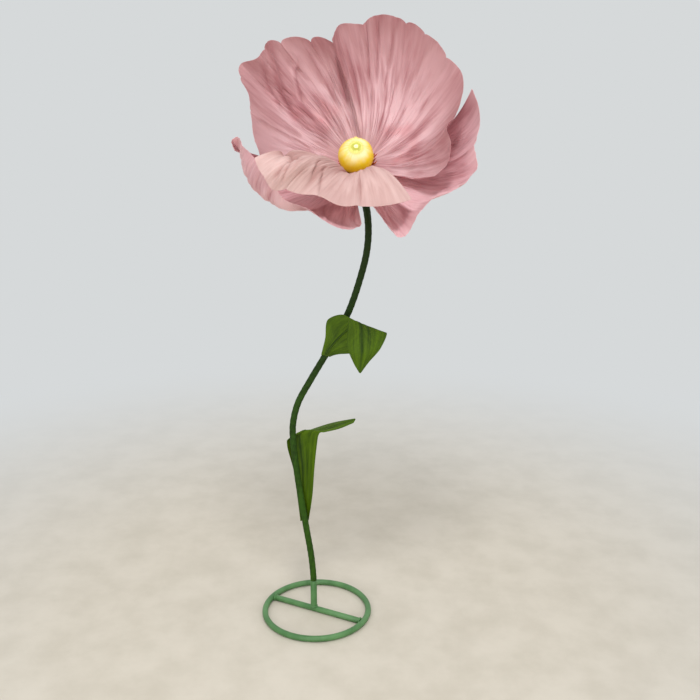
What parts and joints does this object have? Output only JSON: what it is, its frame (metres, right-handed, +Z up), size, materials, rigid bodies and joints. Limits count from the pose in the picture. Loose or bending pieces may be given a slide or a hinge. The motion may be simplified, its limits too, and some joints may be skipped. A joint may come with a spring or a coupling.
{
  "type": "giant crepe paper flower on a stand",
  "caption": "Free-standing giant flower of pleated pink crepe on a wrapped, S-bent stem with leaves, held upright by a green hoop base with a cross bar.",
  "frame": {"origin": "on the floor at the middle of the hoop, under the cross bar", "axes": "+Z up from the floor; the flower faces -Y; +X is to the right for someone who looks at its face"},
  "size_m": [0.5646, 0.4508, 1.5799],
  "materials": {
    "powder_green": "semi-gloss powder coat over steel tube, worn at the welds",
    "bare_steel": "bare drawn steel, hidden inside the crepe",
    "stem_crepe": "dark green crepe strip wound in a slow spiral, glued",
    "leaf_crepe": "olive green crepe, grain along the leaf",
    "petal_crepe": "dusty pink crepe, grain from foot to rim, stretched into pleats",
    "yellow_crepe": "stretched yellow crepe, amber at the foot and cream towards the top",
    "cream_crepe": "gathered cream crepe with a pale green fold",
    "orange_crepe": "snipped orange-brown crepe",
    "white_foam": "expanded foam, hidden inside the paper"
  },
  "bodies": {
    "root": {"base_ring": "powder_green", "cross_bar": "powder_green", "base_post": "powder_green", "stem_tube": "bare_steel", "stem_wrap": "stem_crepe", "head_collar": "white_foam", "calyx": "leaf_crepe", "pod_core": "white_foam", "pod_skin": "yellow_crepe", "pod_button": "cream_crepe", "stamen_fringe": "orange_crepe", "petal_inner_left": "petal_crepe", "petal_inner_right": "petal_crepe", "petal_inner_front": "petal_crepe", "petal_outer_left": "petal_crepe", "petal_outer_right": "petal_crepe", "petal_outer_back": "petal_crepe", "leaf_upper": "leaf_crepe", "leaf_upper_wire": "bare_steel", "leaf_lower": "leaf_crepe", "leaf_lower_wire": "bare_steel"}
  },
  "joints": []
}
